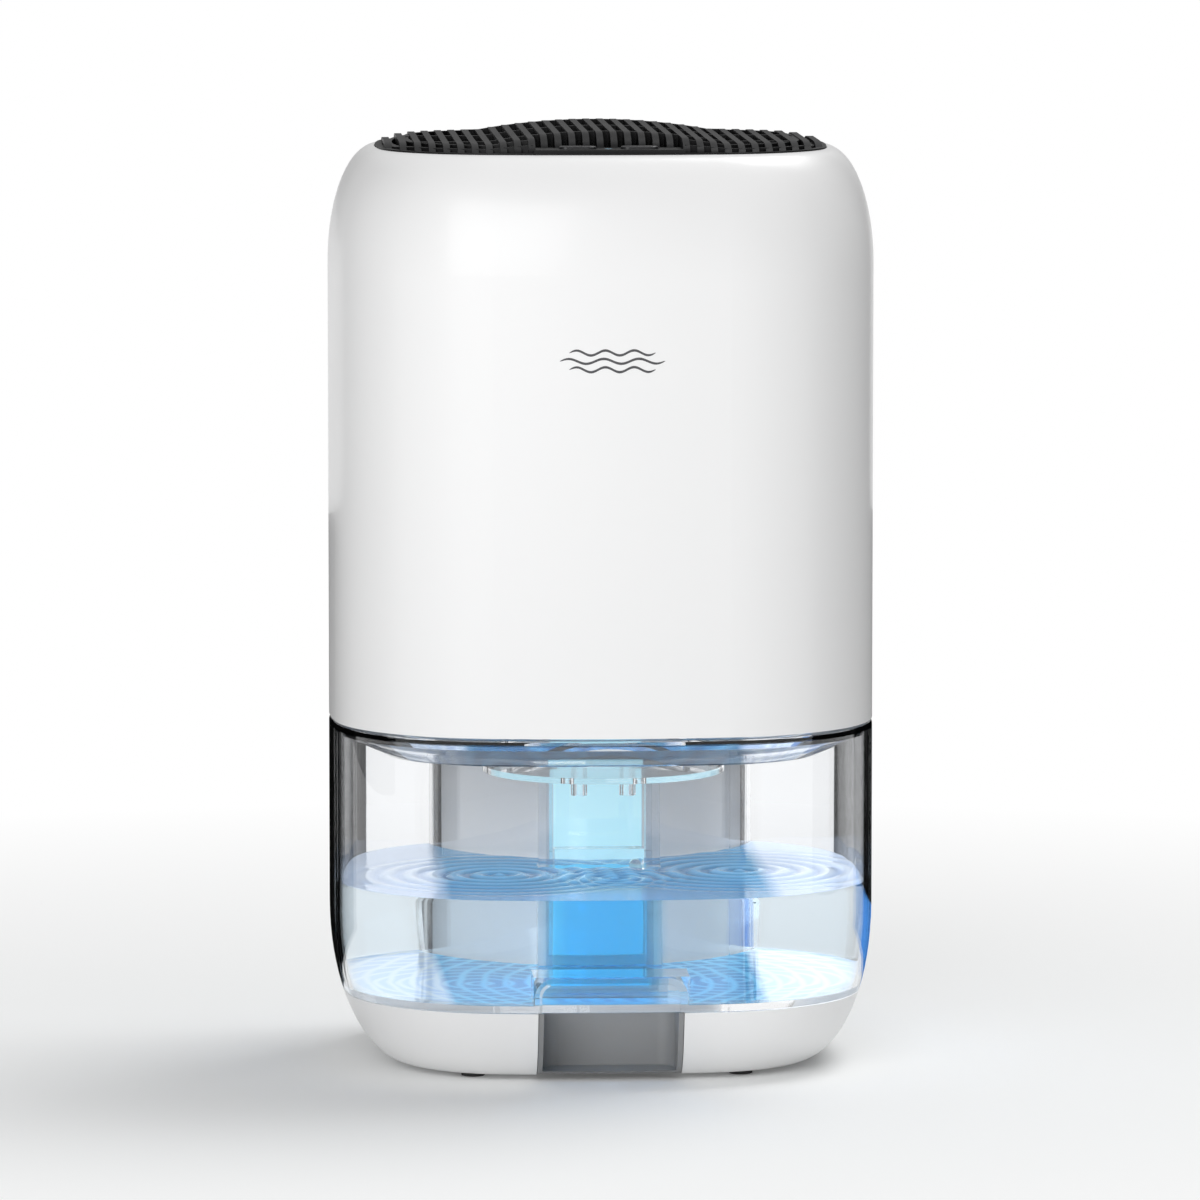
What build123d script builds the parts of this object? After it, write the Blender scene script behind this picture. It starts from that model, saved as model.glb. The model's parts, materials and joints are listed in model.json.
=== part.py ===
"""Thermoelectric dehumidifier: a white housing on a rear spine, over a clear tank that pulls out.

Millimetres, +Z up. The front is -Y, and the origin is on the floor under the middle of the footprint.
"""
import os
from math import atan2, cos, degrees, hypot, pi, sin, sqrt

from build123d import *

os.makedirs("parts", exist_ok=True)

# ---- driving dimensions ------------------------------------------------------------------------
HALF_W = 90.0  # half the overall width
HALF_D = 77.5  # half the overall depth
FRONT_R = 300.0  # radius of the nearly flat front and back
SIDE_R = 200.0  # radius of the nearly flat sides
CORNER_R = 58.0  # radius of the four corners

BASE_Z = 1.5  # underside of the white base, which stands on rubber feet
BASE_TOP = 24.5
TANK_Z = 24.8
BELLY_Z = 52.0  # above this height the lower body's sides are upright
FOOT_INSET = 24.0  # how far the base tucks in at the bottom
TANK_RIM = 112.4
LID_TOP = 114.2
HOUSING_Z = 115.0
SHOULDER_Z = 265.0  # the housing's sides are upright up to here
SHOULDER_INSET = 15.5
RIM_Z = 303.0

HOUSING_WALL = 2.5
TANK_WALL = 2.4
BASE_WALL = 2.6
CORE_INSET = 36.0  # how deep the swept part of a solid block goes

SPINE_Y = 82.8  # axis of the round spine behind the tank, a little behind the machine's back
SPINE_R = 54.3
SPINE_WALL = 2.4
SPINE_LOW = 22.2
RECESS_R = 55.1  # the hollow in the tank's back that clears the spine
TRIM_Y = 61.8  # the spine's black side trims start here
WINDOW_HALF_W = 15.5
WINDOW_LOW, WINDOW_HIGH = 30.0, 112.0

NOTCH_HALF_W = 22.0  # finger notch in the base
NOTCH_BACK_Y = -46.0
NOTCH_CORNER_R = 6.0
LINER_WALL = 1.6
POCKET_HALF_W = 22.5  # finger pocket under the tank's floor, behind its front lip
POCKET_FRONT_Y, POCKET_BACK_Y = -71.6, -56.0
POCKET_TOP = 34.0

DECK_Z = 24.2  # top of the plate that the tank stands on
DECK_THICK = 2.2
DECK_INSET = 7.6
STRIP_HALF_W = 49.0  # grey strip let into the deck
STRIP_THICK = 1.2

LID_DROP = 10.2  # depth of the lid's sloped basin
LID_THICK = 1.8
DISH_Y = -20.0  # centre of the lid's round drip dish
DISH_R = 38.0
DISH_DROP = 6.0
NOZZLE_X = 8.0
NOZZLE_LOW = 89.5

RAIL_INNER_X, RAIL_OUTER_X = 15.4, 20.2  # float rails
RAIL_FRONT_Y, RAIL_BACK_Y = 4.0, 13.0
RAIL_TOP = 97.0
FLOAT_GAP = 0.4
MAGNET_X = 12.2
FLOAT_LOW, FLOAT_HIGH = 56.0, 68.0  # at rest the float rides on half a tank of water

GRILLE_INSET = 15.7
GRILLE_RING = 2.4
GRILLE_LOW = 297.8
SLAT_LOW = 300.5
SLAT_PITCH = 4.55
SLAT_THICK = 2.2
SLAT_COUNT = 32
CROWN = 3.0  # rise of the slats over the rim
WAVE = 3.4  # further rise of the wave in the middle
WAVE_R = 220.0
CROWN_HALF_W = 60.0  # beyond this the slats get lower towards the ends
SLAT_END_X = 73.5
RIB_DROP = 0.15  # tops of the ribs below the tops of the slats

PANEL_HALF_W = 24.5  # control panel at the front of the grille
PANEL_FRONT_Y, PANEL_BACK_Y = -60.6, -45.6
PANEL_TOP = 304.6
PANEL_THICK = 2.0
BUTTON_X, BUTTON_Y = 10.0, -53.0
BUTTON_L, BUTTON_W = 12.0, 6.0
BOARD_TOP = 294.6

FAN_Y = 8.0
FAN_Z = 268.0
FAN_SIZE = 92.0
FAN_DEPTH = 25.0
FAN_SCREW = 41.25
FAN_BORE_R = 44.0
HUB_R = 19.0
BLADES = 7

DUCT_HALF_W = 52.0
DUCT_FRONT_Y, DUCT_BACK_Y = -40.0, 62.0
DUCT_WALL = 2.0
BOARD_Y = DUCT_FRONT_Y - 14  # back of the main board
TRAY_Z = 116.5
TRAY_TOP = 118.5
TRAY_SCREWS = [(82.5, 8), (-82.5, 8), (50, -66), (-50, -66)]

SINK_HALF_W = 45.0
SINK_LOW, SINK_HIGH = 140.0, 240.0
HOT_FRONT_Y, HOT_BASE_Y, CELL_Y, COLD_Y, FIN_Y, COLD_BACK_Y = -26.0, 10.0, 16.0, 19.8, 24.8, 50.0
FIN_THICK = 1.2
FIN_PITCH = 5.0
FIN_COUNT = 15
CELL = 40.0
CELL_Z = (168.0, 212.0)
CLAMPS = [(41, 165), (41, 215), (-41, 165), (-41, 215)]

INTAKE_HALF_W, INTAKE_LOW, INTAKE_HIGH = 56.0, 140.0, 256.0
INTAKE_SCREWS = [(50, 146), (-50, 146), (50, 250), (-50, 250)]
BASE_SCREWS = [(46, 20), (-46, 20), (45, -28), (-45, -28)]
FEET = [(44, 43.6), (-44, 43.6), (44, -43.6), (-44, -43.6)]

# Sections of the walls are drawn on this plane: local x runs inward from the front, local y runs up.
WALL = Plane(origin=(0, -HALF_D, 0), x_dir=(0, 1, 0), z_dir=(1, 0, 0))


# ---- outline -----------------------------------------------------------------------------------
def corner_centre():
    """Centre of the corner arc that is tangent to the front arc and the side arc."""
    front_y, side_x = HALF_D - FRONT_R, HALF_W - SIDE_R
    to_front, to_side = FRONT_R - CORNER_R, SIDE_R - CORNER_R
    span = hypot(side_x, front_y)
    along = (to_front**2 - to_side**2 + span**2) / (2 * span)
    across = sqrt(to_front**2 - along**2)
    unit_x, unit_y = side_x / span, -front_y / span
    return along * unit_x + across * unit_y, front_y + along * unit_y - across * unit_x


CORNER_X, CORNER_Y = corner_centre()
FRONT_ANGLE = degrees(atan2(CORNER_Y - (HALF_D - FRONT_R), CORNER_X))
SIDE_ANGLE = degrees(atan2(CORNER_Y, CORNER_X - (HALF_W - SIDE_R)))


def outline(inset=0.0):
    """Closed wire of eight tangent arcs, starting at the middle of the front."""
    front_y, side_x = HALF_D - FRONT_R, HALF_W - SIDE_R
    front, side, corner = FRONT_R - inset, SIDE_R - inset, CORNER_R - inset
    turn = FRONT_ANGLE - SIDE_ANGLE
    with BuildLine(mode=Mode.PRIVATE) as line:
        CenterArc((0, -front_y), front, 270, 90 - FRONT_ANGLE)
        CenterArc((CORNER_X, -CORNER_Y), corner, 360 - FRONT_ANGLE, turn)
        CenterArc((side_x, 0), side, -SIDE_ANGLE, 2 * SIDE_ANGLE)
        CenterArc((CORNER_X, CORNER_Y), corner, SIDE_ANGLE, turn)
        CenterArc((0, front_y), front, FRONT_ANGLE, 180 - 2 * FRONT_ANGLE)
        CenterArc((-CORNER_X, CORNER_Y), corner, 180 - FRONT_ANGLE, turn)
        CenterArc((-side_x, 0), side, 180 - SIDE_ANGLE, 2 * SIDE_ANGLE)
        CenterArc((-CORNER_X, -CORNER_Y), corner, 180 + SIDE_ANGLE, turn)
        CenterArc((0, -front_y), front, 180 + FRONT_ANGLE, 90 - FRONT_ANGLE)
    return line.wires()[0]


def plan(inset=0.0):
    """The body's plan outline as a face, moved in by inset."""
    with BuildSketch(mode=Mode.PRIVATE) as sketch:
        with BuildLine():
            add(outline(inset))
        make_face()
    return sketch.sketch


def half_depth(x, inset):
    """How far the inset outline reaches in Y at x."""
    front, corner = FRONT_R - inset, CORNER_R - inset
    x = abs(x)
    if x <= front * cos(FRONT_ANGLE * pi / 180):
        return HALF_D - FRONT_R + sqrt(front**2 - x**2)
    if x <= CORNER_X + corner * cos(SIDE_ANGLE * pi / 180):
        return CORNER_Y + sqrt(corner**2 - (x - CORNER_X) ** 2)
    side = SIDE_R - inset
    return sqrt(max(side**2 - (x - HALF_W + SIDE_R) ** 2, 0))


def lower_section(skin, low, high):
    """Wall section of the base and tank, from skin inside the outer surface to CORE_INSET."""
    with BuildSketch(mode=Mode.PRIVATE) as section:
        with BuildLine():
            Line((skin, high), (skin, BELLY_Z))
            EllipticalCenterArc(
                (FOOT_INSET, BELLY_Z),
                FOOT_INSET - skin,
                BELLY_Z - BASE_Z - skin,
                start_angle=180,
                arc_size=90,
            )
            Polyline(
                (FOOT_INSET, BASE_Z + skin), (CORE_INSET, BASE_Z + skin), (CORE_INSET, high), (skin, high)
            )
        make_face()
        with Locations((CORE_INSET / 2, (low + high) / 2)):
            Rectangle(CORE_INSET, high - low, mode=Mode.INTERSECT)
    return section.sketch


def lower_block(skin, low, high):
    """Solid of the base and tank's outer form between two heights, skin inside the surface."""
    with BuildPart(mode=Mode.PRIVATE) as block:
        with BuildSketch(WALL):
            add(lower_section(skin, low, max(high, BELLY_Z + 1)))
        sweep(path=outline())
        with BuildSketch(Plane.XY.offset(low)):
            add(plan(CORE_INSET - 1))
        extrude(amount=max(high, BELLY_Z + 1) - low)
        if high < BELLY_Z + 1:
            split(bisect_by=Plane.XY.offset(high), keep=Keep.BOTTOM)
    return block.part


def cylinder_at(x, y, radius, low, high):
    """Upright cylinder between two heights."""
    with BuildPart(mode=Mode.PRIVATE) as post:
        with BuildSketch(Plane.XY.offset(low)):
            with Locations((x, y)):
                Circle(radius)
        extrude(amount=high - low)
    return post.part


def box_between(x, y, z):
    """Box between pairs of X, Y and Z."""
    with BuildPart(mode=Mode.PRIVATE) as block:
        with Locations(((x[0] + x[1]) / 2, (y[0] + y[1]) / 2, (z[0] + z[1]) / 2)):
            Box(x[1] - x[0], y[1] - y[0], z[1] - z[0])
    return block.part


def notch(half_w, back_y, radius, low=BASE_Z - 1, high=BASE_TOP + 2):
    """Upright cut with round inner corners, open to the front, for the finger notch."""
    with BuildPart(mode=Mode.PRIVATE) as cut:
        with BuildSketch(Plane.XY.offset(low)):
            with Locations((0, back_y - HALF_D / 2)):
                RectangleRounded(2 * half_w, HALF_D, radius)
        extrude(amount=high - low)
    return cut.part


def band(outer, inner, low, high):
    """Upright band of the plan outline between two insets and two heights."""
    with BuildPart(mode=Mode.PRIVATE) as ring:
        with BuildSketch(Plane.XY.offset(low)):
            add(plan(outer))
            add(plan(inner), mode=Mode.SUBTRACT)
        extrude(amount=high - low)
    return ring.part


def slab(inset, low, high):
    """Flat slab of the plan outline."""
    with BuildPart(mode=Mode.PRIVATE) as sheet:
        with BuildSketch(Plane.XY.offset(low)):
            add(plan(inset))
        extrude(amount=high - low)
    return sheet.part


def spine_arc(inner_r, outer_r, low, high):
    """Upright half tube about the spine's centre, on the tank's side."""
    with BuildPart(mode=Mode.PRIVATE) as tube:
        with BuildSketch(Plane.XY.offset(low)):
            with Locations((0, SPINE_Y)):
                Circle(outer_r)
                Circle(inner_r, mode=Mode.SUBTRACT)
        extrude(amount=high - low)
        split(bisect_by=Plane.XZ.offset(-SPINE_Y), keep=Keep.TOP)
    return tube.part


def screw(x, y, z, into, length, shank_r=1.4):
    """Pan-head cross screw whose head sits on the point and whose shank runs along into."""
    seat = Plane(origin=(x, y, z), z_dir=into)
    with BuildPart(mode=Mode.PRIVATE) as fastener:
        with BuildSketch(seat):
            Circle(2 * shank_r)
        extrude(amount=-1.5)
        fillet(fastener.faces().sort_by(Axis(seat.origin, seat.z_dir))[0].edges(), 0.6)
        with BuildSketch(seat):
            Circle(shank_r)
        extrude(amount=length)
        with BuildSketch(seat.offset(-1.6)):
            Rectangle(2.6 * shank_r, 0.6)
            Rectangle(0.6, 2.6 * shank_r)
        extrude(amount=1.0, mode=Mode.SUBTRACT)
    return fastener.part


def save(part, name):
    """Writes one sub-part."""
    part.label = name
    export_step(part, f"parts/{name}.step")


# ---- housing -----------------------------------------------------------------------------------
with BuildPart() as housing_shell:
    with BuildSketch(WALL):
        with BuildLine():
            Line((0, HOUSING_Z), (0, SHOULDER_Z))
            EllipticalCenterArc(
                (SHOULDER_INSET, SHOULDER_Z), SHOULDER_INSET, RIM_Z - SHOULDER_Z, start_angle=90, arc_size=90
            )
            Line((SHOULDER_INSET, RIM_Z), (SHOULDER_INSET, RIM_Z - HOUSING_WALL))
            EllipticalCenterArc(
                (SHOULDER_INSET, SHOULDER_Z),
                SHOULDER_INSET - HOUSING_WALL,
                RIM_Z - HOUSING_WALL - SHOULDER_Z,
                start_angle=90,
                arc_size=90,
            )
            Polyline((HOUSING_WALL, SHOULDER_Z), (HOUSING_WALL, HOUSING_Z), (0, HOUSING_Z))
        make_face()
    sweep(path=outline())
    # window for the rear air intake
    with BuildSketch(Plane.XZ.offset(-HALF_D - 1)):
        with Locations((0, (INTAKE_LOW + INTAKE_HIGH) / 2)):
            RectangleRounded(2 * INTAKE_HALF_W + 0.6, INTAKE_HIGH - INTAKE_LOW + 0.6, 10.3)
    extrude(amount=HALF_D / 2, mode=Mode.SUBTRACT)
    # bosses that the tray's screws go into
    with BuildSketch(Plane.XY.offset(TRAY_TOP)):
        with Locations(*TRAY_SCREWS):
            Circle(5)
            Circle(1.5, mode=Mode.SUBTRACT)
    extrude(amount=18)
save(housing_shell.part, "housing_shell")

with BuildPart() as drip_tray:
    with BuildSketch(Plane.XY.offset(TRAY_Z)):
        add(plan(HOUSING_WALL + 0.4))
        with Locations(*TRAY_SCREWS):
            Circle(1.7, mode=Mode.SUBTRACT)
    extrude(amount=TRAY_TOP - TRAY_Z)
    # low walls that lead the drips forward to two nozzles
    with BuildSketch(Plane.XY.offset(TRAY_TOP)):
        with Locations((0, 12)):
            RectangleRounded(88, 92, 8)
            RectangleRounded(84, 88, 6, mode=Mode.SUBTRACT)
    extrude(amount=7)
    with BuildSketch(Plane.XY.offset(TRAY_Z)):
        with Locations((NOZZLE_X, DISH_Y), (-NOZZLE_X, DISH_Y)):
            Circle(3.2)
    extrude(amount=-1.4)
    with BuildSketch(Plane.XY.offset(TRAY_Z - 2)):
        with Locations((NOZZLE_X, DISH_Y), (-NOZZLE_X, DISH_Y)):
            Circle(2)
    extrude(amount=6, mode=Mode.SUBTRACT)
save(drip_tray.part, "drip_tray")

with BuildPart() as tray_screws:
    for x, y in TRAY_SCREWS:
        add(screw(x, y, TRAY_Z, (0, 0, 1), 14))
save(tray_screws.part, "tray_screws")


# ---- top grille and controls -------------------------------------------------------------------
def slat(x, front_y, back_y, top):
    """One upright slat running front to back with round shoulders."""
    with BuildPart(mode=Mode.PRIVATE) as blade:
        with BuildSketch(Plane(origin=(x - SLAT_THICK / 2, 0, 0), x_dir=(0, 1, 0), z_dir=(1, 0, 0))):
            with BuildLine():
                rise = top - RIM_Z + 0.6
                Line((front_y, SLAT_LOW), (front_y, RIM_Z - 0.6))
                EllipticalCenterArc(
                    (front_y + 13, RIM_Z - 0.6), 13, rise, start_angle=90, arc_size=90
                )
                Line((front_y + 13, top), (back_y - 13, top))
                EllipticalCenterArc((back_y - 13, RIM_Z - 0.6), 13, rise, start_angle=0, arc_size=90)
                Polyline((back_y, RIM_Z - 0.6), (back_y, SLAT_LOW), (front_y, SLAT_LOW))
            make_face()
        extrude(amount=SLAT_THICK)
    return blade.part


def slat_top(x):
    """Height of the slats: round at the ends, flat at the sides, with a wave across the middle."""
    sag = WAVE_R - sqrt(WAVE_R**2 - x**2)
    past = max((abs(x) - CROWN_HALF_W) / (SLAT_END_X - CROWN_HALF_W), 0)
    return RIM_Z + 0.6 + (CROWN - 0.6) * sqrt(1 - past**2) + max(WAVE - sag, 0)


def under_slats(share):
    """Block under the slats' tops. A share of 1 reaches them, less stays low near their round ends."""
    wave_x = sqrt(WAVE_R**2 - (WAVE_R - WAVE) ** 2)
    low = RIM_Z - 1
    flat = share * (CROWN + 1) - RIB_DROP
    crest = share * (CROWN + WAVE + 1) - RIB_DROP
    end = SLAT_END_X - CROWN_HALF_W
    with BuildPart(mode=Mode.PRIVATE) as block:
        with BuildSketch(Plane.XZ.offset(-HALF_D)):
            with BuildLine():
                Line((-CROWN_HALF_W, low + flat), (-wave_x, low + flat))
                ThreePointArc((-wave_x, low + flat), (0, low + crest), (wave_x, low + flat))
                Line((wave_x, low + flat), (CROWN_HALF_W, low + flat))
                EllipticalCenterArc((CROWN_HALF_W, low), end, flat, start_angle=0, arc_size=90)
                Polyline(
                    (SLAT_END_X, low), (SLAT_END_X, GRILLE_LOW), (-SLAT_END_X, GRILLE_LOW), (-SLAT_END_X, low)
                )
                EllipticalCenterArc((-CROWN_HALF_W, low), end, flat, start_angle=90, arc_size=90)
            make_face()
        extrude(amount=2 * HALF_D)
    return block.part


def cross_rib(y):
    """Rib that runs across under the slats, inside the inner ring rib."""
    with BuildPart(mode=Mode.PRIVATE) as rib:
        add(under_slats(1))
        add(box_between((-HALF_W, HALF_W), (y - 1, y + 1), (0, 400)), mode=Mode.INTERSECT)
        add(slab(GRILLE_INSET + 10, 0, 400), mode=Mode.INTERSECT)
    return rib.part


def ring_rib(inset, share):
    """Rib that follows the grille's edge under the slats, open behind the control panel."""
    with BuildPart(mode=Mode.PRIVATE) as rib:
        add(under_slats(share))
        add(band(GRILLE_INSET + inset, GRILLE_INSET + inset + 2, 0, 400), mode=Mode.INTERSECT)
        add(box_between((-PANEL_HALF_W, PANEL_HALF_W), (-HALF_D, PANEL_BACK_Y), (0, 400)), mode=Mode.SUBTRACT)
    return rib.part


with BuildPart() as top_grille:
    add(band(GRILLE_INSET, GRILLE_INSET + GRILLE_RING, GRILLE_LOW, RIM_Z + 0.5))
    add(band(12.9, GRILLE_INSET + GRILLE_RING, GRILLE_LOW, GRILLE_LOW + 1.6))
    for i in range(SLAT_COUNT):
        x = (i - (SLAT_COUNT - 1) / 2) * SLAT_PITCH
        reach = half_depth(abs(x) + SLAT_THICK / 2, GRILLE_INSET + 0.6)
        front_y = PANEL_BACK_Y - 1 if abs(x) < PANEL_HALF_W else -reach
        add(slat(x, front_y, reach, slat_top(x)))
    add(ring_rib(3.6, 0.7))
    add(ring_rib(9, 0.94))
    for y in (-30, 8, 48):
        add(cross_rib(y))
    # control panel with its button and lamp holes, and posts for the board below it
    with BuildSketch(Plane.XY.offset(PANEL_TOP - PANEL_THICK)):
        with Locations((0, (PANEL_FRONT_Y + PANEL_BACK_Y) / 2)):
            Rectangle(2 * PANEL_HALF_W, PANEL_BACK_Y - PANEL_FRONT_Y)
        with Locations((BUTTON_X, BUTTON_Y), (-BUTTON_X, BUTTON_Y)):
            RectangleRounded(BUTTON_L + 0.6, BUTTON_W + 0.6, 2.8, mode=Mode.SUBTRACT)
        with Locations((0, BUTTON_Y)):
            Circle(1.3, mode=Mode.SUBTRACT)
    extrude(amount=PANEL_THICK)
    with BuildSketch(Plane.XY.offset(BOARD_TOP)):
        with Locations((21, BUTTON_Y), (-21, BUTTON_Y)):
            Circle(2)
    extrude(amount=PANEL_TOP - PANEL_THICK - BOARD_TOP)
save(top_grille.part, "top_grille")

with BuildPart() as control_board:
    with BuildSketch(Plane.XY.offset(BOARD_TOP - 1.6)):
        with Locations((0, BUTTON_Y)):
            RectangleRounded(48, 15, 1.5)
    extrude(amount=1.6)
save(control_board.part, "control_board")

with BuildPart() as tact_switches:
    for x in (BUTTON_X, -BUTTON_X):
        add(box_between((x - 3, x + 3), (BUTTON_Y - 3, BUTTON_Y + 3), (BOARD_TOP, BOARD_TOP + 3.4)))
        add(cylinder_at(x, BUTTON_Y, 1.6, BOARD_TOP + 3.4, BOARD_TOP + 4.6))
save(tact_switches.part, "tact_switches")

with BuildPart() as indicator_lens:
    add(cylinder_at(0, BUTTON_Y, 1.25, BOARD_TOP, PANEL_TOP + 0.1))
    add(cylinder_at(0, BUTTON_Y, 2.2, BOARD_TOP, PANEL_TOP - PANEL_THICK - 0.2))
save(indicator_lens.part, "indicator_lens")

for side, name in ((-1, "power_button"), (1, "light_button")):
    with BuildPart() as button:
        with BuildSketch(Plane.XY.offset(PANEL_TOP - PANEL_THICK - 0.6)):
            with Locations((side * BUTTON_X, BUTTON_Y)):
                RectangleRounded(BUTTON_L, BUTTON_W, 2.5)
        extrude(amount=PANEL_THICK + 1.5)
        fillet(button.faces().sort_by(Axis.Z)[-1].edges(), 0.5)
        with BuildSketch(Plane.XY.offset(PANEL_TOP - PANEL_THICK - 1.6)):
            with Locations((side * BUTTON_X, BUTTON_Y)):
                RectangleRounded(BUTTON_L + 2.4, BUTTON_W + 2.4, 3)
        extrude(amount=1.3)
        add(cylinder_at(side * BUTTON_X, BUTTON_Y, 1.5, BOARD_TOP + 5.7, PANEL_TOP - PANEL_THICK))
    save(button.part, name)

# ---- fan ---------------------------------------------------------------------------------------
FAN_HOLES = [(a * FAN_SCREW, FAN_Y + b * FAN_SCREW) for a in (1, -1) for b in (1, -1)]

with BuildPart() as fan_frame:
    with BuildSketch(Plane.XY.offset(FAN_Z)):
        with Locations((0, FAN_Y)):
            RectangleRounded(FAN_SIZE, FAN_SIZE, 5)
            Circle(FAN_BORE_R, mode=Mode.SUBTRACT)
        with Locations(*FAN_HOLES):
            Circle(2.1, mode=Mode.SUBTRACT)
    extrude(amount=FAN_DEPTH)
    # relief between the upper and lower corner flanges
    with BuildSketch(Plane.XY.offset(FAN_Z + 4)):
        with Locations((0, FAN_Y)):
            Circle(70)
            Circle(FAN_BORE_R + 1.9, mode=Mode.SUBTRACT)
    extrude(amount=FAN_DEPTH - 8, mode=Mode.SUBTRACT)
    # motor seat on four struts
    with BuildSketch(Plane.XY.offset(FAN_Z)):
        with Locations((0, FAN_Y)):
            Circle(HUB_R)
        with Locations((0, FAN_Y)):
            Rectangle(2 * FAN_BORE_R + 2, 4)
            Rectangle(4, 2 * FAN_BORE_R + 2)
        with Locations((0, FAN_Y)):
            Circle(2.05, mode=Mode.SUBTRACT)
    extrude(amount=2.5)
    with BuildSketch(Plane.XY.offset(FAN_Z + 2.5)):
        with Locations((0, FAN_Y)):
            Circle(4)
            Circle(2.05, mode=Mode.SUBTRACT)
    extrude(amount=13)
save(fan_frame.part, "fan_frame")

with BuildPart() as fan_screws:
    for x, y in FAN_HOLES:
        add(screw(x, y, FAN_Z + FAN_DEPTH, (0, 0, -1), FAN_DEPTH + 6, 1.8))
save(fan_screws.part, "fan_screws")

with BuildPart() as fan_bearing:
    with BuildSketch(Plane.XY.offset(FAN_Z + 1)):
        with Locations((0, FAN_Y)):
            Circle(2)
            Circle(1.55, mode=Mode.SUBTRACT)
    extrude(amount=14)
save(fan_bearing.part, "fan_bearing")

with BuildPart() as fan_coil:
    with BuildSketch(Plane.XY.offset(FAN_Z + 4)):
        with Locations((0, FAN_Y)):
            Circle(6.5)
            Rectangle(25, 6)
            Rectangle(6, 25)
            Circle(4.1, mode=Mode.SUBTRACT)
    extrude(amount=9)
save(fan_coil.part, "fan_coil")

with BuildPart() as fan_magnet_ring:
    with BuildSketch(Plane.XY.offset(FAN_Z + 3.6)):
        with Locations((0, FAN_Y)):
            Circle(17.2)
            Circle(14.2, mode=Mode.SUBTRACT)
    extrude(amount=13)
save(fan_magnet_ring.part, "fan_magnet_ring")

with BuildPart() as fan_shaft:
    add(cylinder_at(0, FAN_Y, 1.5, FAN_Z + 2.6, FAN_Z + 20))
save(fan_shaft.part, "fan_shaft")


def vane(angle):
    """One fan blade, lofted from a steep root to a flatter tip and turned about the shaft."""
    with BuildPart(mode=Mode.PRIVATE) as blade:
        with BuildSketch(Plane.YZ.offset(HUB_R - 1.5)):
            with Locations((0, FAN_Z + 13)):
                Rectangle(18, 1.7, rotation=42)
        with BuildSketch(Plane.YZ.offset(FAN_BORE_R + 1)):
            with Locations((-3, FAN_Z + 13.5)):
                Rectangle(31, 1.4, rotation=27)
        loft()
        with BuildSketch(Plane.XY.offset(FAN_Z + 1)):
            Circle(FAN_BORE_R - 1)
        extrude(amount=FAN_DEPTH - 2, mode=Mode.INTERSECT)
    return Pos(0, FAN_Y, 0) * Rot(0, 0, angle) * blade.part


with BuildPart() as fan_rotor:
    with BuildSketch(Plane.XY.offset(FAN_Z + 3.4)):
        with Locations((0, FAN_Y)):
            Circle(HUB_R)
    extrude(amount=18)
    fillet(fan_rotor.faces().sort_by(Axis.Z)[-1].edges(), 1.5)
    for i in range(BLADES):
        add(vane(i * 360 / BLADES))
    with BuildSketch(Plane.XY.offset(FAN_Z + 3.3)):
        with Locations((0, FAN_Y)):
            Circle(17.3)
    extrude(amount=14.1, mode=Mode.SUBTRACT)
    with BuildSketch(Plane.XY.offset(FAN_Z)):
        with Locations((0, FAN_Y)):
            Circle(1.5)
    extrude(amount=20, mode=Mode.SUBTRACT)
save(fan_rotor.part, "fan_rotor")

# ---- cooling unit and duct ---------------------------------------------------------------------
FIN_X = [(i - (FIN_COUNT - 1) / 2) * FIN_PITCH for i in range(FIN_COUNT)]
SINK_Z = (SINK_LOW + SINK_HIGH) / 2
CLAMP_AXIS = (0, -1, 0)

with BuildPart() as hot_sink:
    with BuildSketch(Plane.XY.offset(SINK_LOW)):
        with Locations((0, (HOT_BASE_Y + CELL_Y) / 2)):
            Rectangle(2 * SINK_HALF_W, CELL_Y - HOT_BASE_Y)
        with Locations(*[(x, (HOT_FRONT_Y + HOT_BASE_Y) / 2) for x in FIN_X]):
            Rectangle(FIN_THICK, HOT_BASE_Y - HOT_FRONT_Y + 0.2)
    extrude(amount=SINK_HIGH - SINK_LOW)
    with BuildSketch(Plane.XZ.offset(-CELL_Y)):
        with Locations(*CLAMPS):
            Circle(1.5)
    extrude(amount=5, mode=Mode.SUBTRACT)
save(hot_sink.part, "hot_sink")

with BuildPart() as cold_sink:
    with BuildSketch(Plane.XY.offset(SINK_LOW)):
        with Locations((0, (COLD_Y + FIN_Y) / 2)):
            Rectangle(2 * SINK_HALF_W, FIN_Y - COLD_Y)
        with Locations(*[(x, (FIN_Y + COLD_BACK_Y) / 2) for x in FIN_X]):
            Rectangle(FIN_THICK, COLD_BACK_Y - FIN_Y + 0.2)
    extrude(amount=SINK_HIGH - SINK_LOW)
    with BuildSketch(Plane.XZ.offset(-COLD_BACK_Y)):
        with Locations(*CLAMPS):
            Circle(1.7)
    extrude(amount=COLD_BACK_Y - COLD_Y + 1, mode=Mode.SUBTRACT)
save(cold_sink.part, "cold_sink")

with BuildPart() as cooling_cells:
    for z in CELL_Z:
        add(box_between((-CELL / 2, CELL / 2), (CELL_Y, COLD_Y), (z - CELL / 2, z + CELL / 2)))
save(cooling_cells.part, "cooling_cells")

with BuildPart() as foam_gasket:
    with BuildSketch(Plane.XZ.offset(-CELL_Y - 0.1)):
        with Locations((0, SINK_Z)):
            Rectangle(2 * DUCT_HALF_W - 5, SINK_HIGH - SINK_LOW + 8)
        with Locations(*[(0, z) for z in CELL_Z]):
            Rectangle(CELL + 0.6, CELL + 0.6, mode=Mode.SUBTRACT)
        with Locations(*CLAMPS):
            Circle(1.7, mode=Mode.SUBTRACT)
    extrude(amount=-(COLD_Y - CELL_Y - 0.2))
save(foam_gasket.part, "foam_gasket")

with BuildPart() as clamp_screws:
    for x, z in CLAMPS:
        add(screw(x, FIN_Y, z, CLAMP_AXIS, 13))
save(clamp_screws.part, "clamp_screws")

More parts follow.
